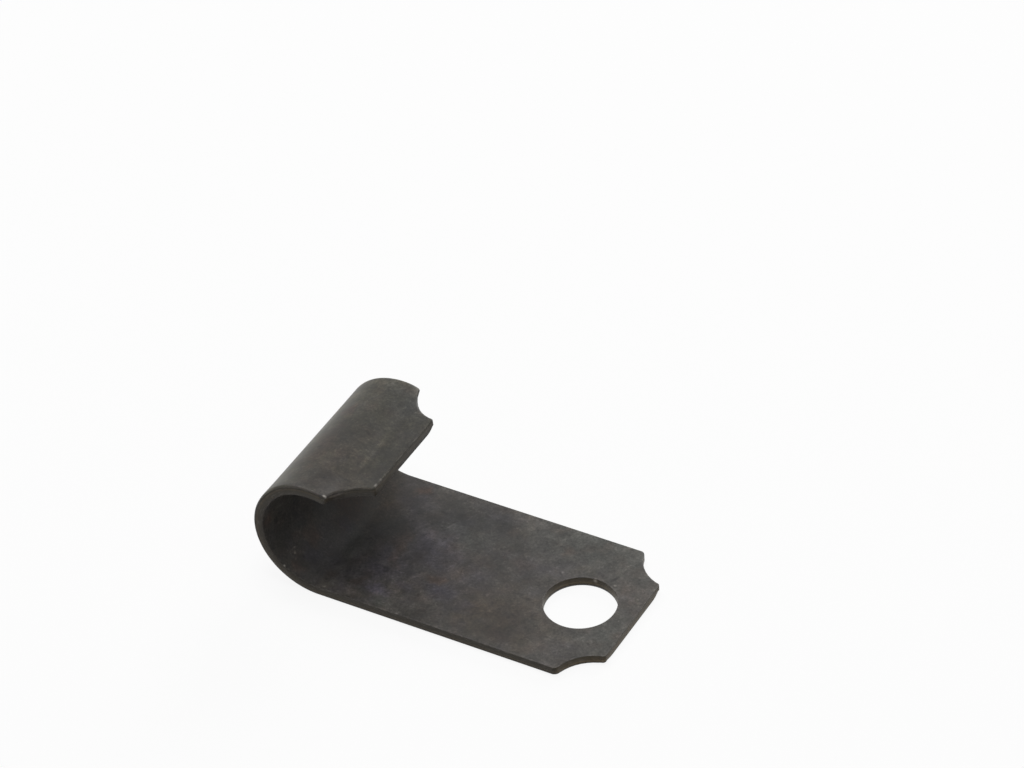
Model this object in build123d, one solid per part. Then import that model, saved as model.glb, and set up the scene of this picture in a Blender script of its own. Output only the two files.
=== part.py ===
from build123d import *
from collections import Counter
from math import sqrt
import os

# Jack wrench clip: one strip of spring steel. The flat base is bolted down through its hole,
# and the other end is rolled into a curl that grips the wrench's round bar. Millimetres.
# The origin is the centre of the hole on the underside of the base. +X points to the end of
# the base beyond the hole, and +Z is up, the side that the curl rises on.

# Strip
strip_width = 25.4
sheet_thickness = 1.45

# Base
hole_diameter = 10.0
hole_to_base_end = 7.9
hole_to_curl_axis = 33.35

# Curl, and the tongue that leaves it: a bend back, then a short straight lip
curl_bore_radius = 7.8
curl_past_top_angle = 17.0
relief_bend_radius = 6.0
lip_angle = 4.5
lip_length = 2.5

# Scalloped corners: each scallop is centred a little outside the two edges that it cuts
scallop_radius = 6.0
base_scallop_beyond_side = 1.0
base_scallop_beyond_end = 1.15
lip_scallop_beyond_side = 1.15
lip_scallop_beyond_end = 0.85
point_rounding = 0.45

# The press rolls the rim of the outer face as it blanks the strip. The inner rim and the upper
# rim of the hole come out sharp, and are only eased.
rolled_edge_radius = 0.25
eased_edge_radius = 0.1

touching = 0.001


def strip_line(depth):
    """Side view of the strip, from the base's end to the lip's, at a depth below its outer face."""
    base = Line((hole_to_base_end, depth), (-hole_to_curl_axis, depth))
    curl_radius = curl_bore_radius + sheet_thickness - depth
    curl = JernArc(base @ 1, base % 1, curl_radius, -(180 + curl_past_top_angle))
    relief_turn = curl_past_top_angle + lip_angle
    relief_bend = JernArc(curl @ 1, curl % 1, relief_bend_radius + depth, relief_turn)
    lip = PolarLine(relief_bend @ 1, lip_length, direction=relief_bend % 1)
    return Plane.XZ * Wire([base, curl, relief_bend, lip])


def bent_strip():
    """The strip at its full width, with square corners."""
    outer_line = strip_line(0)
    inner_line = strip_line(sheet_thickness)
    base_end = Line(outer_line @ 0, inner_line @ 0)
    lip_end = Line(outer_line @ 1, inner_line @ 1)
    section = make_face([outer_line, inner_line, base_end, lip_end])
    return extrude(section, strip_width / 2, both=True)


def scallop_chord(beyond_side):
    """Along a long edge, from a scallop's centre to the point where the scallop meets the edge."""
    return sqrt(scallop_radius**2 - beyond_side**2)


def scallop_cutters(edge_point, outwards, beyond_side):
    """Two cylinders through the sheet, square to it where they meet the long edges.

    edge_point is that place on the middle of the sheet, and outwards points along the strip
    towards the end that is cut.
    """
    across = Vector(0, 1, 0)
    centre = edge_point + outwards * scallop_chord(beyond_side)
    side_offset = strip_width / 2 + beyond_side
    cutter = Cylinder(scallop_radius, 2 * scallop_radius)
    return [
        Plane(centre + across * offset, x_dir=across, z_dir=outwards.cross(across)) * cutter
        for offset in (-side_offset, side_offset)
    ]


def cut_corners(strip):
    """Scallop the two corners of the base and the two of the lip."""
    middle_line = strip_line(sheet_thickness / 2)
    base_chord = scallop_chord(base_scallop_beyond_side)
    lip_chord = scallop_chord(lip_scallop_beyond_side)
    base_reach = base_chord - base_scallop_beyond_end
    lip_reach = middle_line.length - lip_chord + lip_scallop_beyond_end
    cutters = scallop_cutters(
        middle_line.position_at(base_reach, position_mode=PositionMode.LENGTH),
        middle_line.tangent_at(base_reach, position_mode=PositionMode.LENGTH) * -1,
        base_scallop_beyond_side,
    )
    cutters += scallop_cutters(
        middle_line.position_at(lip_reach, position_mode=PositionMode.LENGTH),
        middle_line.tangent_at(lip_reach, position_mode=PositionMode.LENGTH),
        lip_scallop_beyond_side,
    )
    return strip - cutters


def depth_below_outer_face(point):
    return strip_line(0).distance_to(Vector(point.X, 0, point.Z))


def goes_through_sheet(edge):
    """True for an edge that runs from the outer face to the inner one."""
    ends = depth_below_outer_face(edge @ 0) - depth_below_outer_face(edge @ 1)
    return abs(ends) > sheet_thickness - touching


def round_points(strip):
    """Round the two points that each scallop leaves."""
    return fillet(strip.edges().filter_by(goes_through_sheet), point_rounding)


def rim(strip, depth):
    """Edges round the outer or inner face as a whole, without the lines where a bend begins."""

    def lies_at_depth(face):
        corners = face.vertices()
        return all(abs(depth_below_outer_face(corner) - depth) < touching for corner in corners)

    times_met = Counter(
        edge for face in strip.faces().filter_by(lies_at_depth) for edge in face.edges()
    )
    return [edge for edge, times in times_met.items() if times == 1]


def bolt_hole():
    return Cylinder(hole_diameter / 2, 4 * sheet_thickness)


def wrench_clip():
    clip = cut_corners(bent_strip())
    clip = round_points(clip)
    clip = fillet(rim(clip, 0), rolled_edge_radius)
    clip -= bolt_hole()
    return fillet(rim(clip, sheet_thickness), eased_edge_radius)


os.makedirs("parts", exist_ok=True)
export_step(wrench_clip(), "parts/clip.step")
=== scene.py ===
from math import acos, asin, cos, degrees, exp, pi, radians, sin, sqrt, tan

import bmesh
import bpy
from mathutils import Matrix, Vector


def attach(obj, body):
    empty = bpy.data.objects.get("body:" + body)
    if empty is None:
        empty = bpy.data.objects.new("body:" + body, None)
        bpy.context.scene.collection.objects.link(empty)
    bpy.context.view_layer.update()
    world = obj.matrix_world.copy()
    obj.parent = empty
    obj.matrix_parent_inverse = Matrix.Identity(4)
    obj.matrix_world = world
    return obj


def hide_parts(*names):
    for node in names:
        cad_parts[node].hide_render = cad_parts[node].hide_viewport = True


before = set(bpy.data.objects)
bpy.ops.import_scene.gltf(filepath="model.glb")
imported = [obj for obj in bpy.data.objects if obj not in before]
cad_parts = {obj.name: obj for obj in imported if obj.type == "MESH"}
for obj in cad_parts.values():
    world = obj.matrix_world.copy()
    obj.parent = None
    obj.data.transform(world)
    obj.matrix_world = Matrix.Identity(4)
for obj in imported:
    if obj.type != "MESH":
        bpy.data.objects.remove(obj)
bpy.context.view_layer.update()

print("frame loaded")


# camera, at the photograph's place

camera = {
    "place": (0.205189, -0.350976, 0.373643),   # metres
    "right": (0.873954, 0.483384, -0.050450),
    "down": (0.273469, -0.574915, -0.771160),
    "forward": (-0.401771, 0.660162, -0.634639),
    "lens": 145.2405,                           # millimetres, as is the sensor
    "sensor": 36,
    "nearest": 0.01,                            # metres
    "furthest": 50,
}


def addCamera():
    data = bpy.data.cameras.new("camera")
    data.sensor_fit = "HORIZONTAL"
    data.sensor_width = camera["sensor"]
    data.lens = camera["lens"]
    data.clip_start = camera["nearest"]
    data.clip_end = camera["furthest"]
    obj = bpy.data.objects.new("camera", data)
    bpy.context.scene.collection.objects.link(obj)
    axes = Matrix((camera["right"], -Vector(camera["down"]), -Vector(camera["forward"])))
    obj.matrix_world = Matrix.Translation(camera["place"]) @ axes.transposed().to_4x4()
    bpy.context.scene.camera = obj


addCamera()
print("camera set")


# shader maths: a socket that takes part in plain sums

class Value:
    def __init__(self, tree, socket):
        self.tree = tree
        self.socket = socket

    def output(self, name):
        return Value(self.tree, self.socket.node.outputs[name])

    def math(self, operation, *others):
        return addMath(self.tree, operation, self, *others)

    def __add__(self, other): return self.math("ADD", other)
    def __radd__(self, other): return self.math("ADD", other)
    def __sub__(self, other): return self.math("SUBTRACT", other)
    def __rsub__(self, other): return addMath(self.tree, "SUBTRACT", other, self)
    def __mul__(self, other): return self.math("MULTIPLY", other)
    def __rmul__(self, other): return self.math("MULTIPLY", other)
    def __abs__(self): return self.math("ABSOLUTE")

    def smaller(self, other): return self.math("MINIMUM", other)
    def larger(self, other): return self.math("MAXIMUM", other)

    def rise(self, low, high, before=0.0, after=1.0):
        # before up to low, after from high on, smooth between
        return addNode(self.tree, "ShaderNodeMapRange", {"interpolation_type": "SMOOTHSTEP"},
                       {"Value": self, "From Min": low, "From Max": high,
                        "To Min": before, "To Max": after})

    def fall(self, low, high):
        return self.rise(low, high, 1.0, 0.0)


def addNode(tree, kind, settings, inputs, output=0):
    node = tree.nodes.new(kind)
    for name, setting in settings.items():
        setattr(node, name, setting)
    for name, value in inputs.items():
        if isinstance(value, Value):
            tree.links.new(value.socket, node.inputs[name])
        else:
            node.inputs[name].default_value = value
    return None if output is None else Value(tree, node.outputs[output])


def addMath(tree, operation, *values):
    return addNode(tree, "ShaderNodeMath", {"operation": operation}, dict(enumerate(values)))


def vectorMath(operation, first, *others, output=0):
    return addNode(first.tree, "ShaderNodeVectorMath", {"operation": operation},
                   dict(enumerate((first, *others))), output=output)


noiseMiddle = 0.5                  # a noise texture lies evenly round this


def noise(place, scale, detail=2.0, roughness=0.5):
    return addNode(place.tree, "ShaderNodeTexNoise", {},
                   {"Vector": place, "Scale": scale, "Detail": detail, "Roughness": roughness})


def mapped(place, scale=(1, 1, 1), turn=(0, 0, 0), shift=(0, 0, 0)):
    return addNode(place.tree, "ShaderNodeMapping", {},
                   {"Vector": place, "Location": shift, "Rotation": turn, "Scale": scale})


def mixedNumber(factor, first, second):
    # 0 is the factor, 2 and 3 the two numbers
    return addNode(factor.tree, "ShaderNodeMix", {"data_type": "FLOAT"},
                   {0: factor, 2: first, 3: second})


def mixedColour(factor, first, second):
    # 0 is the factor, 6 and 7 the two colours, 2 the result
    return addNode(factor.tree, "ShaderNodeMix", {"data_type": "RGBA"},
                   {0: factor, 6: first, 7: second}, output=2)


def newMaterial(name):
    material = bpy.data.materials.new(name)
    material.use_nodes = True
    material.node_tree.nodes.clear()
    return material


# spring clip: blanked flat in millimetres, then bent, then scaled to metres
# flat places are: x along the strip from the base's end, y across it, z from the outer face in

millimetre = 0.001                 # in metres

clip = {
    "width": 25.4,
    "thickness": 1.45,
    "holeRadius": 5.0,
    "holeFromEnd": 7.9,
    "curlFromHole": 33.35,
    "curlRadius": 9.25,            # outer face
    "curlTurn": 197.0,
    "reliefRadius": 6.0,           # outer face
    "reliefTurn": 21.5,
    "lipLength": 2.5,
    "scallopRadius": 6.0,
    "baseScallop": (1.15, 1.0),    # centre beyond the end, centre beyond the side
    "lipScallop": (0.85, 1.15),
    "pointRounding": {"baseEnd": 0.4, "baseSide": 0.7, "lipSide": 0.4, "lipEnd": 0.4},
    "pointSegments": 6,
    "rollWidth": 0.35,             # rolled rim of the outer face
    "rollDepth": 0.28,
    "rollSteps": 5,
    "easedRim": 0.08,              # round the inner face and the hole
    "easedSegments": 3,
    "sharp": 1.0,                  # radians: the least angle between two faces at a rim
    "touching": 0.001,             # places nearer than this count as one
    "cutSlack": 0.0001,            # a cut this near a corner goes through it
    "scallopSteps": 9,
    "holeSteps": 96,
    "bendStep": 2.0,               # degrees between the cuts across a bend
    "flareNear": 0.28,             # the curl's edges spring outwards over its top
    "flareFar": 0.12,
    "flareReach": 2.5,
    "flareTurn": (115.0, 160.0),   # degrees of curl over which it grows
    "flareCuts": (0.5, 1.1, 1.8, 2.6, 3.6, 5.0),
    "pointReach": 1.7,             # round each point the press has drawn one face in
    "pointCuts": (5.4, 5.8, 6.3, 6.9, 7.6),   # in from each side
    "endCuts": (0.5, 1.1, 1.9),    # in from each end
}

# place along and across, then how far the outer and the inner face are drawn in
drawnPoints = [
    (0.0, 7.3, 0.62, 0.0),
    (0.0, -7.3, 0.26, 0.0),
    (4.9, -12.7, 0.14, 0.0),
    (4.9, 12.7, 0.12, 0.0),
    (70.4, 12.7, 0.14, 0.0),
    (75.6, 7.6, 0.0, 0.55),
]


def stripRuns():
    # length on the middle of the sheet, and the turn of each run
    middle = clip["thickness"] / 2
    curl = radians(clip["curlTurn"])
    relief = radians(clip["reliefTurn"])
    return [
        (clip["holeFromEnd"] + clip["curlFromHole"], 0.0),
        ((clip["curlRadius"] - middle) * curl, -curl),
        ((clip["reliefRadius"] + middle) * relief, relief),
        (clip["lipLength"], 0.0),
    ]


def stripLength():
    return sum(length for length, turn in stripRuns())


def edgeFlare(flat, heading):
    # how far the sheet stands out from the true curl, near its two sides
    low, high = clip["flareTurn"]
    grown = min(max((180 - degrees(heading) - low) / (high - low), 0), 1)
    fromSide = clip["width"] / 2 - abs(flat.y)
    size = clip["flareNear"] if flat.y < 0 else clip["flareFar"]
    return size * grown ** 2 * (3 - 2 * grown) * exp(-(fromSide / clip["flareReach"]) ** 2)


def bentPlace(flat):
    # follow the middle of the sheet to this place, then step to its depth
    x = clip["holeFromEnd"]
    z = clip["thickness"] / 2
    heading = pi
    left = flat.x
    for length, turn in stripRuns():
        gone = min(left, length)
        left -= gone
        if turn:
            radius = length / turn
            after = heading + gone / radius
            x += radius * (sin(after) - sin(heading))
            z += radius * (cos(heading) - cos(after))
            heading = after
        else:
            x += gone * cos(heading)
            z += gone * sin(heading)
    inward = flat.z - clip["thickness"] / 2 - edgeFlare(flat, heading)
    return Vector((x + inward * sin(heading), flat.y, z - inward * cos(heading)))


def drawLine(bm, start, *places):
    for place in places:
        end = bm.verts.new((*place, 0))
        bm.edges.new((start, end))
        start = end
    return start


def drawArc(bm, start, centre, angle, steps):
    turned = bmesh.ops.spin(bm, geom=[start], cent=(*centre, 0), axis=(0, 0, 1),
                            angle=angle, steps=steps)
    return turned["geom_last"][0]


def drawHalf(bm):
    # from the hole round one half of the outline and back along the middle
    half = clip["width"] / 2
    radius = clip["scallopRadius"]
    length = stripLength()
    baseBeyond, baseSide = clip["baseScallop"]
    lipBeyond, lipSide = clip["lipScallop"]
    baseCentre = (-baseBeyond, half + baseSide)
    lipCentre = (length + lipBeyond, half + lipSide)
    baseDrop = sqrt(radius ** 2 - baseBeyond ** 2)
    lipReach = sqrt(radius ** 2 - lipSide ** 2)
    baseTurn = acos(baseBeyond / radius) - asin(baseSide / radius)
    lipTurn = acos(lipBeyond / radius) - asin(lipSide / radius)
    hole = (clip["holeFromEnd"], 0)

    start = bm.verts.new((hole[0] - clip["holeRadius"], 0, 0))
    points = {}
    at = points["baseEnd"] = drawLine(bm, start, (0, 0), (0, baseCentre[1] - baseDrop))
    at = points["baseSide"] = drawArc(bm, at, baseCentre, baseTurn, clip["scallopSteps"])
    at = points["lipSide"] = drawLine(bm, at, (lipCentre[0] - lipReach, half))
    at = points["lipEnd"] = drawArc(bm, at, lipCentre, lipTurn, clip["scallopSteps"])
    at = drawLine(bm, at, (length, 0), (hole[0] + clip["holeRadius"], 0))
    outline = set(bm.edges)
    drawArc(bm, at, hole, pi, clip["holeSteps"] // 2)
    bmesh.ops.remove_doubles(bm, verts=bm.verts, dist=clip["touching"])
    bmesh.ops.edgeloop_fill(bm, edges=bm.edges)

    # the slug that the punch takes out later
    slug = [edge for edge in bm.edges if edge not in outline]
    slug.append(bm.edges.new((start, at)))
    bmesh.ops.contextual_create(bm, geom=slug)

    corner = pi / 2 + asin(baseSide / radius)
    for name, point in points.items():
        bmesh.ops.bevel(bm, geom=[point], offset=clip["pointRounding"][name] / tan(corner / 2),
                        affect="VERTICES", segments=clip["pointSegments"], profile=0.5,
                        material=-1)


def everything(bm):
    return bm.verts[:] + bm.edges[:] + bm.faces[:]


def inHole(place):
    fromCentre = place.xy - Vector((clip["holeFromEnd"], 0))
    return fromCentre.length < clip["holeRadius"] + clip["touching"]


def rimEdges(bm, depth, hole):
    # edges where the wall meets the face at that depth, round the hole or round the outline
    return [edge for edge in bm.edges
            if all(abs(vert.co.z - depth) < clip["touching"] for vert in edge.verts)
            and edge.calc_face_angle(0) > clip["sharp"]
            and inHole((edge.verts[0].co + edge.verts[1].co) / 2) == hole]


def easeRim(bm, edges):
    bmesh.ops.bevel(bm, geom=edges, offset=clip["easedRim"], affect="EDGES",
                    segments=clip["easedSegments"], profile=0.5, material=-1, loop_slide=True)


def rollRim(bm):
    # the outer face starts sunk to the roll's depth, and each inset ring rises towards it
    outer = [face for face in bm.faces if face.calc_center_median().z < clip["touching"]]
    bmesh.ops.translate(bm, vec=(0, 0, clip["rollDepth"]),
                        verts=list({vert for face in outer for vert in face.verts}))
    steps = clip["rollSteps"]
    for step in range(steps):
        before = pi / 2 * step / steps
        after = pi / 2 * (step + 1) / steps
        bmesh.ops.inset_region(bm, faces=outer, use_boundary=True, use_even_offset=True,
                               thickness=clip["rollWidth"] * (cos(before) - cos(after)),
                               depth=clip["rollDepth"] * (sin(after) - sin(before)))


def punchHole(bm):
    # take the slug's faces out of both sides, then join their rims
    slug = [face for face in bm.faces if inHole(face.calc_center_median())]
    bmesh.ops.delete(bm, geom=slug, context="FACES")
    bmesh.ops.bridge_loops(bm, edges=[edge for edge in bm.edges if edge.is_boundary])
    bmesh.ops.recalc_face_normals(bm, faces=bm.faces)
    easeRim(bm, rimEdges(bm, clip["thickness"], True) + rimEdges(bm, 0, True))


def cutThrough(bm, place, normal):
    bmesh.ops.bisect_plane(bm, geom=everything(bm), dist=clip["cutSlack"],
                           plane_co=place, plane_no=normal)


def cutForBending(bm):
    # across the strip, close together where it bends and near its ends
    cutAt = 0
    for length, turn in stripRuns()[:-1]:
        count = max(1, round(abs(turn) / radians(clip["bendStep"])))
        for _ in range(count):
            cutAt += length / count
            cutThrough(bm, (cutAt, 0, 0), (1, 0, 0))
    for fromEnd in clip["endCuts"]:
        cutThrough(bm, (fromEnd, 0, 0), (1, 0, 0))
        cutThrough(bm, (stripLength() - fromEnd, 0, 0), (1, 0, 0))

    # and lengthways near its two sides
    for fromSide in clip["flareCuts"] + clip["pointCuts"]:
        cutThrough(bm, (0, clip["width"] / 2 - fromSide, 0), (0, 1, 0))
        cutThrough(bm, (0, fromSide - clip["width"] / 2, 0), (0, 1, 0))


def drawnIn(flat):
    # near a drawn point, one face moves into the sheet
    depth = flat.z
    share = flat.z / clip["thickness"]
    for along, across, outer, inner in drawnPoints:
        away = Vector((flat.x - along, flat.y - across)).length / clip["pointReach"]
        near = max(1 - away, 0) ** 2
        depth += near * (outer * (1 - share) - inner * share)
    return Vector((flat.x, flat.y, depth))


def makeClip():
    bm = bmesh.new()
    drawHalf(bm)
    bmesh.ops.mirror(bm, geom=everything(bm), axis="Y", merge_dist=clip["touching"])
    raised = bmesh.ops.extrude_face_region(bm, geom=bm.faces[:])["geom"]
    raised = [part for part in raised if isinstance(part, bmesh.types.BMVert)]
    bmesh.ops.translate(bm, vec=(0, 0, clip["thickness"]), verts=raised)
    bmesh.ops.recalc_face_normals(bm, faces=bm.faces)
    easeRim(bm, rimEdges(bm, clip["thickness"], False))
    rollRim(bm)
    punchHole(bm)
    cutForBending(bm)

    # the material reads each point's flat place
    flatPlace = bm.verts.layers.float_vector.new("flatPlace")
    for vert in bm.verts:
        vert[flatPlace] = vert.co
        vert.co = bentPlace(drawnIn(vert.co))
    bmesh.ops.scale(bm, vec=(millimetre, millimetre, millimetre), verts=bm.verts)
    bmesh.ops.recalc_face_normals(bm, faces=bm.faces)   # bending turns the shape inside out
    for face in bm.faces:
        face.smooth = True

    mesh = bpy.data.meshes.new("springClip")
    bm.to_mesh(mesh)
    bm.free()
    obj = bpy.data.objects.new("springClip", mesh)
    bpy.context.scene.collection.objects.link(obj)
    obj.modifiers.new("evenShading", "WEIGHTED_NORMAL")
    return obj


# blackened steel
# places are on the flat strip: millimetres from the base's end, then across from the middle
# a tone is a power of e: 0.1 is a tenth lighter, -0.1 a tenth darker

steel = {
    "plain": (0.0673, 0.0611, 0.0548, 1),
    "brown": (0.0768, 0.0596, 0.0438, 1),
    "violet": (0.0672, 0.0603, 0.0720, 1),
    "olive": (0.0640, 0.0634, 0.0570, 1),
    "khaki": (0.0680, 0.0622, 0.0430, 1),
    "rust": (0.0870, 0.0585, 0.0450, 1),
    "cut": (0.0820, 0.0603, 0.0310, 1),        # sheared walls
    "bareAndPaintedGlints": (0.2300, 0.2150, 0.1950, 1),       # where the blacking has gone, and painted glints
    "roughness": 0.42,
    "roughnessClouds": 0.20,
    "roughnessGrain": 0.10,
    "specular": 0.25,
    "bareMetallic": 0.5,
    "bareRoughness": 0.34,
    "faceTone": {"inner": -0.20, "outer": -0.69},
    "midSheet": (0.74, 0.76),                  # depths where the inner face takes over
    "throughSheet": 9,                         # patterns are this much finer through the sheet
    "clouds": {"scale": 0.16, "detail": 3, "roughness": 0.60, "tone": 1.10},
    "mottle": {"scale": 0.50, "detail": 3, "roughness": 0.70, "tone": 2.10},
    "grain": {"scale": 2.6, "detail": 2, "roughness": 0.75, "tone": 1.45},
    "streaks": {"turn": 117, "along": 0.10, "across": 0.70,
                "scale": 1, "detail": 3, "roughness": 0.6, "tone": 0.55},
    "lightSpecks": {"shift": 17, "scale": 1.5, "detail": 1, "roughness": 0.5,
                    "from": (0.60, 0.74), "tone": 0.32},
    "darkSpecks": {"shift": 53, "scale": 1.1, "detail": 1, "roughness": 0.5,
                   "from": (0.62, 0.76), "tone": -0.42},
    "busy": 0.85,                              # share of the mottling at the base's end
    "drift": ((0.22, 2.4), (1.1, 0.7)),        # noise scale, millimetres moved
    "tintClouds": {"scale": 0.40, "detail": 2, "roughness": 0.5, "strength": 1.1},
    "bumpGrain": 0.4,
    "bumpClouds": 0.2,
    "bumpDepth": 0.000012,                     # metres
    "bumpStrength": 0.35,
}

# along the strip: where it begins, where it is whole, and what is added from there on
furtherAlong = {
    "baseBusy": (7, 14, 0.15),
    "curlBusy": (42, 50, 0.10),
    "curlGrain": (40, 46, 0.40),
    # painted shade: darker past the hole, and again into the curl
    "baseShade": (8, 18, -0.20),
    "curlShade": (39, 46, -0.45),
    "curlRoughness": (39, 45, 0.30),
}

# in the order they are laid on: shift of its clouds, and how thick they are before it shows
tintOrder = {
    "brown": (0, 0.55),
    "khaki": (30, 0.55),
    "violet": (60, 0.55),
    "olive": (90, 0.55),
    "rust": (120, 0.66),
}

# side, place, half size, turn, tone
stainsAndPaintedLight = [
    ("inner", (0.6, 3.0), (2.8, 9.0), 0, 0.30),
    ("inner", (6.0, 8.0), (9.0, 6.0), 0, 0.15),
    ("inner", (12.0, 12.2), (17.0, 3.6), 0, 0.38),
    ("inner", (14.0, -9.0), (7.0, 6.5), 0, -0.60),
    ("inner", (21.5, -7.5), (9.0, 6.5), 20, -0.34),
    ("inner", (21.5, 3.5), (4.5, 7.0), 20, -0.34),
    ("inner", (25.0, 8.3), (5.5, 3.4), 10, -0.40),
    ("inner", (31.4, 8.4), (5.0, 4.0), 0, -0.62),
    ("inner", (30.8, -1.5), (3.2, 6.5), 10, -0.32),
    ("inner", (24.2, -3.4), (2.4, 4.0), 15, 0.34),
    ("inner", (28.3, 5.4), (3.0, 4.5), -20, 0.12),
    ("inner", (33.0, -9.8), (5.0, 4.6), 0, 0.48),
    ("inner", (34.2, -4.0), (2.6, 6.0), 0, 0.18),
    ("inner", (33.2, 2.6), (2.8, 3.6), 20, 0.32),
    ("inner", (36.6, 5.4), (2.6, 6.0), -52, 0.36),
    ("inner", (38.0, 1.8), (5.5, 4.4), 0, -0.62),
    ("inner", (40.2, 9.0), (4.4, 3.4), -20, -0.18),
    ("inner", (41.0, -12.0), (8.0, 2.6), 0, 0.40),
    # painted shadow under the lip: this row and the next
    ("inner", (45.0, 1.5), (6.0, 8.0), -30, -0.72),
    ("inner", (50.4, -3.5), (5.0, 6.0), -30, -0.16),
    ("inner", (43.0, -7.0), (4.0, 5.0), 0, -0.40),
    ("inner", (57.0, -10.5), (6.0, 6.0), 0, 0.50),
    # painted shadow under the lip
    ("inner", (46.0, 3.0), (3.0, 4.4), -30, -0.30),
    ("inner", (42.0, -5.2), (2.4, 3.6), 0, -0.46),
    ("inner", (40.2, 2.6), (3.0, 3.0), -30, -0.30),
    ("inner", (57.6, -10.0), (3.0, 4.0), 0, -0.34),
    ("inner", (40.8, -2.0), (2.2, 2.4), 0, 0.26),
    ("inner", (33.8, -10.6), (3.6, 2.6), 0, 0.30),
    ("inner", (47.2, -10.0), (2.2, 3.0), 0, 0.24),
    ("inner", (45.2, 0.2), (1.6, 2.2), 0, 0.20),
    ("inner", (50.6, -5.0), (1.6, 1.8), 0, 0.18),
    ("inner", (54.4, -8.4), (1.8, 2.0), 0, -0.20),
    ("inner", (20.4, -2.4), (2.4, 2.6), 0, -0.20),
    ("inner", (2.4, 0.4), (1.2, 2.4), 0, 0.14),
    ("inner", (16.5, -4.0), (4.5, 5.5), 0, -0.12),
    ("inner", (27.5, 7.0), (4.5, 4.5), 0, -0.12),
    ("inner", (38.5, 8.0), (3.5, 4.0), 0, -0.10),
    ("inner", (32.8, -4.0), (1.6, 4.2), 0, 0.16),
    ("inner", (24.6, 9.8), (2.0, 1.5), 20, 0.34),
    ("inner", (16.8, 10.8), (3.4, 2.4), 0, 0.20),
    ("inner", (8.2, 6.4), (1.3, 1.3), 0, 0.34),
    ("inner", (28.0, -4.6), (1.8, 3.2), 10, -0.28),
    ("inner", (20.2, -10.0), (1.8, 2.2), 0, -0.16),
    ("inner", (39.0, 10.4), (1.6, 1.0), 0, -0.28),
    ("inner", (21.2, 6.2), (3.4, 1.8), 0, -0.14),
    ("inner", (29.4, 4.8), (2.0, 1.8), 0, -0.16),
    ("inner", (47.4, -7.0), (3.6, 9.0), 0, 0.56),
    # painted sheen along the curl's outer limb, where it turns away
    ("outer", (61.3, 0.0), (3.2, 30.0), 0, 0.46),
    ("outer", (73.2, -5.8), (1.6, 3.4), 10, -0.26),
    ("outer", (74.6, -7.4), (1.6, 1.8), 0, 0.16),
    ("outer", (68.0, 12.8), (16.0, 3.2), 0, 0.60),
    ("outer", (75.4, -1.0), (4.2, 14.0), 0, -0.46),
    ("outer", (69.0, -9.5), (6.0, 4.0), 0, -0.16),
    ("outer", (64.6, -1.5), (5.0, 8.0), 0, -0.28),
    ("outer", (70.8, 1.0), (3.0, 4.0), 0, -0.18),
    ("outer", (66.4, 5.0), (3.0, 7.0), 10, 0.14),
    ("outer", (74.0, 10.0), (4.0, 3.4), 45, 0.30),
    ("outer", (73.0, 1.2), (1.6, 2.0), 0, -0.16),
    ("outer", (68.5, 0.0), (6.0, 5.5), 0, -0.14),
    ("outer", (72.6, -7.4), (2.0, 1.6), 0, -0.18),
    ("outer", (71.6, 6.4), (1.6, 2.0), 0, 0.14),
    ("outer", (61.6, -10.0), (1.4, 3.4), 0, 0.16),
]

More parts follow.
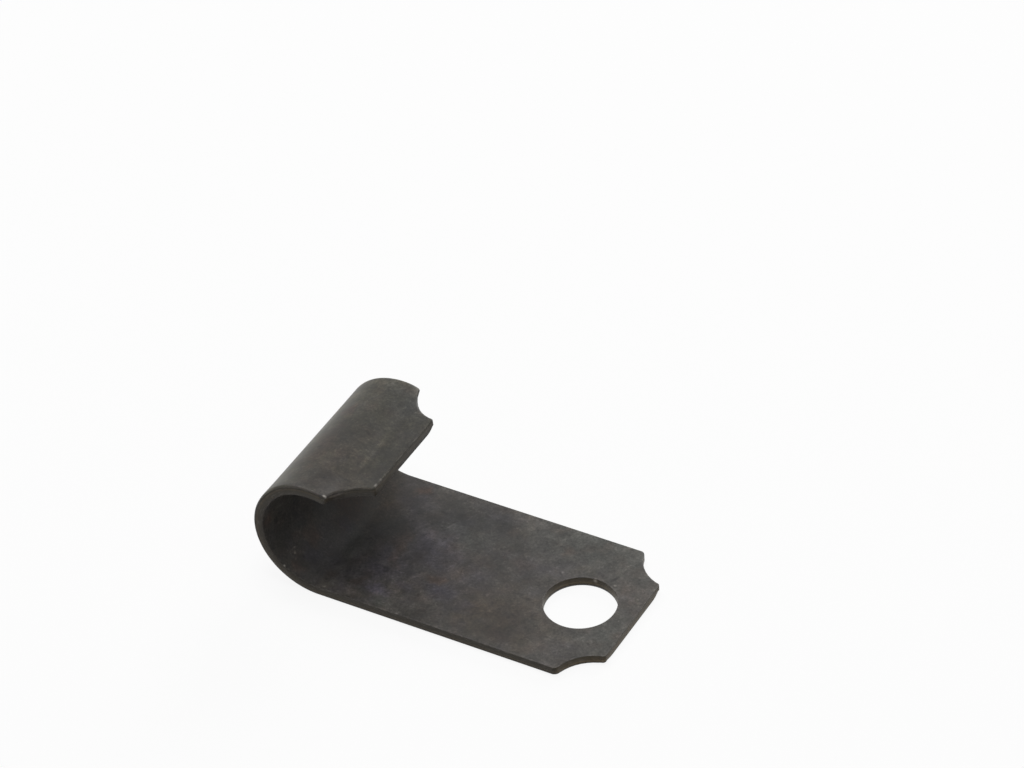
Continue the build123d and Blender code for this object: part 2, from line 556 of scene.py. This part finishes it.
# tint, side, place, half size, turn, strength
tints = [
    ("brown", "inner", (17.0, -7.0), (11.0, 8.0), 15, 1.10),
    ("brown", "inner", (25.5, -3.0), (8.0, 5.0), 20, 0.70),
    ("brown", "inner", (42.5, 7.0), (8.0, 9.0), -30, 1.00),
    ("brown", "inner", (46.2, 3.0), (5.0, 6.0), -30, 1.20),
    ("rust", "inner", (46.0, 2.8), (3.2, 5.4), -30, 1.40),
    ("rust", "inner", (46.6, -5.6), (1.7, 2.2), 0, 0.80),
    ("rust", "inner", (45.6, -11.2), (1.6, 1.8), 0, 0.60),
    ("rust", "inner", (27.4, -4.0), (1.6, 1.5), 0, 0.70),
    ("rust", "inner", (38.1, 10.4), (1.7, 1.5), 0, 1.10),
    ("rust", "inner", (21.4, 3.2), (1.1, 1.1), 0, 0.50),
    ("rust", "inner", (35.0, -1.0), (1.8, 6.0), -25, 0.70),
    ("rust", "inner", (55.4, -11.6), (2.0, 2.0), 0, 0.70),
    ("rust", "inner", (37.4, -9.6), (2.4, 1.8), 0, 0.55),
    ("rust", "inner", (15.0, -9.4), (3.0, 3.6), 0, 0.35),
    ("rust", "inner", (19.0, 3.4), (3.4, 5.0), 0, 0.22),
    ("rust", "inner", (14.2, 8.4), (1.8, 1.8), 0, 0.30),
    ("rust", "outer", (64.6, -3.0), (2.2, 8.5), 0, 0.75),
    ("rust", "outer", (64.3, 4.8), (1.5, 1.8), 0, 0.90),
    ("brown", "outer", (68.5, -6.0), (12.0, 11.0), 0, 0.85),
    ("brown", "outer", (64.5, -2.0), (2.6, 9.0), 0, 0.60),
    ("khaki", "outer", (68.0, 8.0), (20.0, 15.0), 0, 1.00),
    ("khaki", "outer", (61.5, 0.0), (8.0, 40.0), 0, 1.40),
    ("khaki", "outer", (73.0, -1.0), (8.0, 14.0), 0, 0.90),
    ("violet", "inner", (31.0, 1.0), (7.5, 10.0), -25, 1.00),
    ("violet", "inner", (36.5, -5.0), (8.5, 10.0), -25, 0.85),
    ("violet", "inner", (43.0, -6.0), (5.0, 8.0), -25, 0.50),
    ("violet", "inner", (23.0, -2.5), (5.0, 5.5), 0, 0.55),
    ("violet", "inner", (26.0, -6.0), (4.5, 3.5), 0, 0.90),
    ("violet", "inner", (26.0, 10.0), (4.0, 5.0), -20, 0.55),
    ("violet", "inner", (37.5, 8.0), (4.5, 6.0), -25, 0.60),
    ("violet", "inner", (17.0, 4.0), (9.0, 6.0), 0, 0.25),
    ("olive", "inner", (10.0, 11.0), (24.0, 9.0), 0, 1.00),
    ("olive", "inner", (28.0, 6.0), (8.0, 6.0), 0, 0.75),
    ("olive", "inner", (2.0, -4.0), (6.0, 8.0), 0, 0.90),
    ("olive", "inner", (40.0, -4.0), (4.0, 8.0), -30, 0.60),
    ("violet", "inner", (33.8, -10.2), (4.0, 2.6), -25, 1.30),
    ("violet", "inner", (30.8, -7.2), (2.4, 2.0), 0, 0.70),
    ("violet", "inner", (29.0, 8.0), (3.0, 2.4), 0, 0.70),
    ("khaki", "inner", (35.4, -4.6), (1.8, 4.0), -25, 0.50),
    ("khaki", "inner", (40.6, -8.2), (2.2, 1.8), 0, 1.00),
    ("khaki", "inner", (14.0, -9.0), (2.6, 2.4), 0, 0.90),
    ("olive", "inner", (42.6, 5.4), (1.8, 1.6), 0, 0.70),
    ("olive", "inner", (36.2, -11.6), (1.4, 1.0), 0, 0.70),
    ("olive", "inner", (48.8, -6.6), (1.4, 3.0), 0, 0.80),
    ("violet", "inner", (21.0, -6.6), (3.0, 2.4), 0, 0.80),
    ("violet", "inner", (30.0, 6.4), (3.6, 3.6), -20, 0.80),
    ("violet", "inner", (44.2, -0.8), (2.2, 3.6), -25, 0.90),
    ("violet", "inner", (45.2, -7.4), (2.6, 2.6), 0, 0.80),
    ("khaki", "inner", (0.6, -4.2), (1.6, 1.6), 0, 0.60),
    ("khaki", "outer", (74.8, -7.6), (2.2, 2.2), 0, 0.90),
    ("khaki", "inner", (57.0, -9.0), (5.0, 5.0), 0, 0.40),
    ("brown", "inner", (39.6, 8.6), (4.6, 4.0), -20, 1.00),
    ("olive", "outer", (71.0, 9.0), (8.0, 6.0), 0, 0.80),
    ("olive", "inner", (41.4, -3.4), (2.2, 6.4), -25, 1.10),
    ("olive", "inner", (33.0, -11.4), (3.4, 1.6), 0, 0.80),
]

# side, place, half length, half width, turn, tone
marksAndPaintedLight = [
    ("inner", (34.9, 3.4), 5.4, 0.55, 117, 0.34),
    ("inner", (31.1, 6.0), 1.7, 0.26, 112, 0.45),
    ("inner", (29.6, 8.2), 1.3, 0.24, 100, 0.30),
    ("inner", (25.5, 7.2), 1.5, 0.24, 64, 0.50),
    ("inner", (27.2, -1.6), 2.6, 0.32, 120, 0.28),
    ("inner", (21.5, 1.2), 2.0, 0.26, 105, 0.26),
    ("inner", (33.6, -7.2), 2.6, 0.30, 120, 0.26),
    ("inner", (30.4, -5.2), 2.2, 0.26, 112, 0.22),
    ("inner", (18.4, 9.6), 1.2, 0.20, 150, 0.36),
    ("inner", (10.6, -9.4), 1.6, 0.18, 20, 0.26),
    ("inner", (16.2, 5.6), 2.2, 0.16, 158, 0.20),
    ("inner", (5.85, 6.1), 1.15, 0.32, 114, -1.00),
    ("inner", (3.3, -6.6), 0.70, 0.32, 35, -0.60),
    ("inner", (24.8, 8.3), 0.9, 0.6, 20, -0.34),
    ("inner", (31.0, 8.4), 1.4, 0.7, 10, -0.34),
    ("inner", (20.6, -9.8), 1.2, 0.7, 30, -0.30),
    ("inner", (12.4, -7.2), 0.9, 0.4, 60, -0.26),
    ("inner", (5.3, 5.0), 0.44, 0.38, 0, 1.20),
    ("inner", (12.9, 4.2), 0.36, 0.32, 0, 0.80),
    ("inner", (13.9, 5.2), 0.26, 0.22, 0, 0.35),
    ("inner", (47.3, -9.8), 0.34, 0.40, 0, 1.60),
    ("inner", (47.9, -9.2), 0.20, 0.50, 10, 1.00),
    ("inner", (46.6, -10.4), 0.24, 0.34, 0, 0.80),
    ("inner", (46.0, -9.3), 0.40, 0.34, 0, -0.80),
    ("inner", (42.8, -10.3), 0.50, 0.26, 60, -0.90),
    ("inner", (41.0, -10.7), 0.46, 0.30, 50, -0.90),
    ("inner", (40.5, -12.1), 0.36, 0.26, 0, 0.60),
    ("inner", (45.6, -4.8), 0.50, 0.26, 0, 0.60),
    ("inner", (45.1, 2.2), 0.34, 0.34, 0, 0.50),
    ("inner", (37.4, -10.4), 0.9, 0.22, 75, 0.40),
    # painted highlight along the lip's end rim
    ("outer", (75.42, -5.0), 2.8, 0.26, 90, 0.55),
    ("outer", (69.9, -12.5), 0.45, 0.26, 0, -0.90),
    # painted highlight and shade across the bend before the lip: this row and the next three
    ("outer", (71.5, -2.0), 5.4, 0.60, 90, 0.50),
    ("outer", (72.9, -4.6), 2.6, 0.40, 84, 0.30),
    ("outer", (70.4, 1.4), 2.4, 0.40, 92, 0.20),
    ("outer", (72.4, -1.4), 4.4, 0.45, 90, -0.24),
    ("outer", (67.4, 3.4), 2.6, 0.24, 96, 0.22),
    ("outer", (66.0, -7.6), 2.0, 0.22, 78, 0.24),
    ("outer", (67.2, 7.6), 0.9, 0.7, 0, 0.26),
    ("outer", (73.4, -8.6), 0.7, 0.5, 20, -0.30),
]

# side or wall, place, half size, strength
bareSpotsAndPaintedGlints = [
    # bare metal, the first four partly painted glints at the lip's corners and along its end rim
    ("outer", (70.40, -12.42), (0.50, 0.28), 1.0),
    ("outer", (75.4, -7.2), (0.24, 0.46), 0.8),
    ("outer", (75.45, -5.9), (0.25, 0.35), 0.35),
    ("outer", (75.45, -4.8), (0.2, 0.3), 0.25),
    ("inner", (47.25, -12.6), (0.3, 0.25), 0.9),
    ("inner", (1.6, -1.0), (0.16, 0.16), 0.35),
    ("wall", (8.3, 4.9, 1.15), (0.48, 0.50, 0.60), 0.85),
    ("inner", (8.3, 5.1), (0.32, 0.30), 0.45),
]

# place along, across and in depth, half size, tone
wallMarks = [
    ((8.3, 4.9, 1.15), (0.50, 0.40, 0.50), 1.30),
    ((61.6, -12.7, 1.1), (0.35, 0.35, 0.30), 0.90),
    ((70.1, -12.7, 0.5), (0.45, 0.45, 0.35), -0.60),
    ((69.4, -12.7, 0.95), (1.0, 1.0, 0.45), 0.40),
]

rims = {
    "line": 0.30,                  # millimetres in from the edge
    # how much lighter the rim line is: partly wear, partly painted highlight
    "tone": {"inner": 0.16, "outer": 0.42},
    "farPaintedShade": -0.95,              # painted shade: the far rim of the outer face turns away from the light and is painted dark
    "farLine": (0.05, 0.24),
    "farAcross": (6.5, 8),         # millimetres from the middle of the strip
    "worn": 0.30,                  # most of the blacking that an edge has lost
    "lessOnWalls": 0.14,
    "wear": {"scale": 0.7, "detail": 3, "roughness": 0.6, "from": (0.50, 0.68)},
}

walls = {
    "from": (0.20, 0.30),          # depths over which the wall takes over from the outer face
    "to": (1.34, 1.40),            # and gives way to the inner one
    "roughness": 0.47,
    "tone": -0.33,
    "sidePaintedShade": -0.72,             # painted shade: the long sides are darker, and so are the lip's walls
    "sideWithin": (0.05, 0.4),
    "lipPaintedShade": -0.54,
    "lipFrom": (70, 71),
    "lipPlain": 0.5,               # and the lip's walls are less brown and less striped
    "lipEndTone": 0.34,
    "lipEndWithin": (0.3, 0.05),
    "rolledAt": (72.0, -11.2),     # here the press rolled the outer face further down the wall
    "rolledSize": (2.6, 2.0),
    "rolledDepth": 0.80,
    # painted light: the rolled part of the wall is lit up to the face's brightness
    "rolledPaintedLight": 0.85,
    "rolledToneFrom": (0.20, 0.45),
    "burnished": (0.55, 0.26),     # middle and half height of the smooth band
    "burnishedTone": 0.55,
    "line": (0.30, 0.13),          # the dark line between it and the rolled rim
    "lineTone": -0.60,
    "tornFrom": (0.7, 1.3),        # torn metal by the inner face
    "tornTone": -0.24,
    "ribs": {"through": 0.25, "scale": 2.6, "detail": 3, "roughness": 0.65, "tone": 0.90},
}

anyDepth = 1000                    # millimetres, far more than the sheet has


def oval(flat, at, size, turn=0):
    # 1 in the middle, fading to 0 at the edge
    at = (*at, 0)[:3]
    size = (*size, anyDepth)[:3]
    if turn:
        placed = addNode(flat.tree, "ShaderNodeMapping", {"vector_type": "TEXTURE"},
                         {"Vector": flat, "Location": at, "Rotation": (0, 0, radians(turn)),
                          "Scale": size})
    else:
        # the same by Vector Math: Cycles runs out of room with too many Mapping nodes
        placed = vectorMath("MULTIPLY_ADD", flat, [1 / half for half in size],
                            [-place / half for place, half in zip(at, size)])
    return vectorMath("LENGTH", placed, output="Value").fall(0, 1)


def drifted(flat, sheet):
    # the same places, moved about a little, so that no patch is a true oval
    moved = flat
    for scale, reach in steel["drift"]:
        cloud = noise(sheet, scale).output("Color")
        centred = vectorMath("SUBTRACT", cloud, (noiseMiddle, noiseMiddle, noiseMiddle))
        moved = vectorMath("MULTIPLY_ADD", centred, (2 * reach, 2 * reach, 0), moved)
    return moved


def fromEdge(flat, along, across):
    # how far in from the nearest edge of the strip or the hole
    half = clip["width"] / 2
    baseBeyond, baseSide = clip["baseScallop"]
    lipBeyond, lipSide = clip["lipScallop"]
    oneSide = vectorMath("MULTIPLY", vectorMath("ABSOLUTE", flat), (1, 1, 0))
    rounds = [((-baseBeyond, half + baseSide, 0), clip["scallopRadius"]),
              ((stripLength() + lipBeyond, half + lipSide, 0), clip["scallopRadius"]),
              ((clip["holeFromEnd"], 0, 0), clip["holeRadius"])]
    nearest = (half - abs(across)).smaller(along).smaller(stripLength() - along)
    for centre, radius in rounds:
        nearest = nearest.smaller(vectorMath("DISTANCE", oneSide, centre, output="Value") - radius)
    return nearest


def noiseOf(place, look):
    return noise(place, look["scale"], look["detail"], look["roughness"])


def textured(place, look):
    return (noiseOf(place, look) - noiseMiddle) * look["tone"]


def rollingStreaks(flat):
    look = steel["streaks"]
    turned = mapped(flat, turn=(0, 0, radians(-look["turn"])))
    stretched = mapped(turned, scale=(look["along"], look["across"], steel["throughSheet"]))
    return textured(stretched, look)


def scatteredSpecks(sheet):
    specks = 0
    for look in (steel["lightSpecks"], steel["darkSpecks"]):
        spots = noiseOf(mapped(sheet, shift=(look["shift"], 0, 0)), look)
        specks = spots.rise(*look["from"]) * look["tone"] + specks
    return specks


def stainsMarksAndPaintedLight(flat, loose, side):
    # stains and the painted shadow and sheen among them have drifted edges, marks and the painted
    # highlights among them are true ovals
    stainedAndPaintedLight = markedAndPaintedLight = 0
    for at, size, turn, strength in (row[1:] for row in stainsAndPaintedLight if row[0] == side):
        stainedAndPaintedLight = oval(loose, at, size, turn) * strength + stainedAndPaintedLight
    for at, length, width, turn, strength in (row[1:] for row in marksAndPaintedLight if row[0] == side):
        markedAndPaintedLight = oval(flat, at, (length, width), turn) * strength + markedAndPaintedLight
    return stainedAndPaintedLight + markedAndPaintedLight


def wallTone(flat, along, ribs, onLip, plainer):
    # a smooth band by the outer face, torn metal by the inner one
    across = along.output("Y")
    depth = along.output("Z")

    def band(name):
        middle, half = walls[name]
        return abs(depth - middle).fall(0, half) * walls[name + "Tone"]

    longSide = (clip["width"] / 2 - abs(across)).fall(*walls["sideWithin"])
    tone = (band("burnished") + band("line")) * plainer
    tone = tone + depth.rise(*walls["tornFrom"]) * walls["tornTone"]
    tone = tone + (ribs - noiseMiddle) * walls["ribs"]["tone"] + walls["tone"]
    # painted shade on the long sides and on the lip's walls
    tone = tone + longSide * walls["sidePaintedShade"] + (1 - longSide) * onLip * walls["lipPaintedShade"]
    lipEnd = along.rise(*(stripLength() - within for within in walls["lipEndWithin"]))
    tone = tone + lipEnd * walls["lipEndTone"]
    for at, size, strength in wallMarks:
        tone = tone + oval(flat, at, size) * strength
    return tone


def tinted(sheet, loose, sides):
    # each tint shows in its own patches, and where its clouds are thick
    colour = steel["plain"]
    look = steel["tintClouds"]
    for tint, (shift, start) in tintOrder.items():
        cloud = noiseOf(mapped(sheet, shift=(shift, 0, 0)), look)
        uneven = (cloud - noiseMiddle) * look["strength"]
        amount = (cloud - start) * look["strength"]
        for side, mask in sides.items():
            patch = 0
            for at, size, turn, strength in (row[2:] for row in tints if row[:2] == (tint, side)):
                patch = (oval(loose, at, size, turn) * strength).larger(patch)
            if patch:
                amount = amount.larger(patch * mask + uneven)
        colour = mixedColour(amount, colour, steel[tint])
    return colour


def makeSteel():
    material = newMaterial("bluedSteel")
    tree = material.node_tree
    flat = addNode(tree, "ShaderNodeAttribute", {"attribute_name": "flatPlace"}, {},
                   output="Vector")
    along = addNode(tree, "ShaderNodeSeparateXYZ", {}, {"Vector": flat})
    across = along.output("Y")
    depth = along.output("Z")
    sides = {"inner": depth.rise(*steel["midSheet"]), "outer": depth.fall(*steel["midSheet"])}
    rolled = oval(flat, walls["rolledAt"], walls["rolledSize"])
    wall = (depth - rolled * walls["rolledDepth"]).rise(*walls["from"]) * depth.fall(*walls["to"])
    sheet = mapped(flat, scale=(1, 1, steel["throughSheet"]))
    loose = drifted(flat, sheet)
    edge = fromEdge(flat, along, across)

    def further(name):
        start, whole, amount = furtherAlong[name]
        return along.rise(start, whole) * amount

    # cloudy blacking, a little quieter at the base's end
    clouds = textured(sheet, steel["clouds"])
    mottle = textured(sheet, steel["mottle"])
    grain = textured(sheet, steel["grain"])
    streaks = rollingStreaks(flat)
    specks = scatteredSpecks(sheet)
    busy = further("baseBusy") + further("curlBusy") + steel["busy"]
    tone = grain * (further("curlGrain") + 1) + specks
    tone = tone + (clouds + mottle + streaks * sides["inner"]) * busy

    # broad painted shade of each face, darker further along into the curl, then the stains and
    # marks on it, with some painted shadow and highlight among them
    shade = further("baseShade") + further("curlShade") + steel["faceTone"]["inner"]
    tone = tone + shade * sides["inner"] + sides["outer"] * steel["faceTone"]["outer"]
    for side, mask in sides.items():
        tone = tone + stainsMarksAndPaintedLight(flat, loose, side) * mask
    # painted light on the rolled part of the wall
    tone = tone + rolled * depth.rise(*walls["rolledToneFrom"]) * walls["rolledPaintedLight"]

    # rims: a lighter line, partly wear and partly painted highlight where the rounded rim catches
    # the light, and wear that comes and goes
    rim = edge.fall(0, rims["line"])
    rimWearAndHighlight = sides["inner"] * rims["tone"]["inner"] + sides["outer"] * rims["tone"]["outer"]
    tone = tone + rim * rimWearAndHighlight
    # painted shade along the far rim of the outer face
    farRimPaintedShade = edge.fall(*rims["farLine"]) * sides["outer"] * across.rise(*rims["farAcross"])
    tone = tone + farRimPaintedShade * rims["farPaintedShade"]
    patchy = noiseOf(sheet, rims["wear"]).rise(*rims["wear"]["from"])
    bareAndPaintedGlints = rim * patchy * (rims["worn"] - wall * rims["lessOnWalls"])
    masks = {side: mask * (1 - wall) for side, mask in sides.items()}
    masks["wall"] = wall
    # bare spots, some of them partly painted glints
    for side, at, size, strength in bareSpotsAndPaintedGlints:
        bareAndPaintedGlints = bareAndPaintedGlints.larger(oval(flat, at, size) * masks[side] * strength)

    # sheared walls
    ribs = noiseOf(mapped(flat, scale=(1, 1, walls["ribs"]["through"])), walls["ribs"])
    onLip = along.rise(*walls["lipFrom"])
    plainer = 1 - onLip * walls["lipPlain"]
    tone = mixedNumber(wall, tone, wallTone(flat, along, ribs, onLip, plainer))

    colour = tinted(sheet, loose, sides)
    colour = mixedColour(wall * plainer, colour, steel["cut"])
    colour = addNode(tree, "ShaderNodeVectorMath", {"operation": "SCALE"},
                     {"Vector": colour, "Scale": tone.math("EXPONENT")})
    colour = mixedColour(bareAndPaintedGlints, colour, steel["bareAndPaintedGlints"])

    inCurl = further("curlRoughness") * sides["inner"]
    roughness = steel["roughness"] + clouds * steel["roughnessClouds"]
    roughness = roughness + grain * steel["roughnessGrain"] + inCurl
    for mask, other in ((wall, walls["roughness"]), (bareAndPaintedGlints, steel["bareRoughness"])):
        roughness = mixedNumber(mask, roughness, other)
    height = grain * steel["bumpGrain"] + mottle * steel["bumpClouds"] + ribs * wall
    normal = addNode(tree, "ShaderNodeBump", {},
                     {"Strength": steel["bumpStrength"], "Distance": steel["bumpDepth"],
                      "Height": height})
    shader = addNode(tree, "ShaderNodeBsdfPrincipled", {},
                     {"Base Color": colour, "Metallic": bareAndPaintedGlints * steel["bareMetallic"],
                      "Roughness": roughness, "Specular IOR Level": steel["specular"],
                      "Normal": normal})
    addNode(tree, "ShaderNodeOutputMaterial", {}, {"Surface": shader}, output=None)
    return material


springClip = makeClip()
springClip.data.materials.append(makeSteel())
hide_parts("clip")
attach(springClip, "root")
print("spring clip made")


# floor, world and lamps

studio = {
    "floorSize": 3.0,
    "floorGap": 0.00002,           # the base rests on the floor, not in its plane
    "floorColour": (0.85, 0.85, 0.85, 1),
    "white": (1, 1, 1, 1),
    "floorWhite": 0.90,            # share of plain white that the camera and gloss see
    "ambient": 0.05,               # the world's light on the clip
}

lamps = {
    "top": {"place": (0, 0, 1.0), "size": 0.45, "power": 4.5},
    "back": {"place": (0, 0.9, 0.42), "size": 0.45, "power": 4.2},
    "left": {"place": (-0.53, 0.22, 0.82), "size": 0.45, "power": 2.6},
    "right": {"place": (0.57, 0, 0.82), "size": 0.45, "power": 0.8},
}


def cameraOrGloss(tree):
    # 1 for the rays that show the background, 0 for those that light the clip
    path = addNode(tree, "ShaderNodeLightPath", {}, {})
    seen = path.output("Is Camera Ray").larger(path.output("Is Glossy Ray"))
    return seen.larger(path.output("Is Transmission Ray"))


def addFloor():
    bm = bmesh.new()
    bmesh.ops.create_grid(bm, x_segments=1, y_segments=1, size=studio["floorSize"],
                          matrix=Matrix.Translation((0, 0, -studio["floorGap"])))
    mesh = bpy.data.meshes.new("floor")
    bm.to_mesh(mesh)
    bm.free()
    floor = bpy.data.objects.new("floor", mesh)
    bpy.context.scene.collection.objects.link(floor)
    material = newMaterial("floorPaper")
    tree = material.node_tree
    paper = addNode(tree, "ShaderNodeBsdfDiffuse", {}, {"Color": studio["floorColour"]})
    white = addNode(tree, "ShaderNodeEmission", {}, {"Color": studio["white"], "Strength": 1.0})
    shown = addNode(tree, "ShaderNodeMixShader", {},
                    {0: cameraOrGloss(tree) * studio["floorWhite"], 1: paper, 2: white})
    addNode(tree, "ShaderNodeOutputMaterial", {}, {"Surface": shown}, output=None)
    floor.data.materials.append(material)


def addWorld():
    world = bpy.data.worlds.new("studio")
    world.use_nodes = True
    tree = world.node_tree
    tree.nodes.clear()
    strength = cameraOrGloss(tree) * (1 - studio["ambient"]) + studio["ambient"]
    sky = addNode(tree, "ShaderNodeBackground", {},
                  {"Color": studio["white"], "Strength": strength})
    addNode(tree, "ShaderNodeOutputWorld", {}, {"Surface": sky}, output=None)
    bpy.context.scene.world = world


def addLamps():
    for name, lamp in lamps.items():
        data = bpy.data.lights.new(name, "AREA")
        data.size = lamp["size"]
        data.energy = lamp["power"]
        obj = bpy.data.objects.new(name, data)
        bpy.context.scene.collection.objects.link(obj)
        obj.location = lamp["place"]
        obj.rotation_euler = Vector(lamp["place"]).to_track_quat("Z", "Y").to_euler()
        obj.visible_camera = False


addFloor()
addWorld()
addLamps()
bpy.context.scene.view_settings.view_transform = "Standard"
print("studio set")
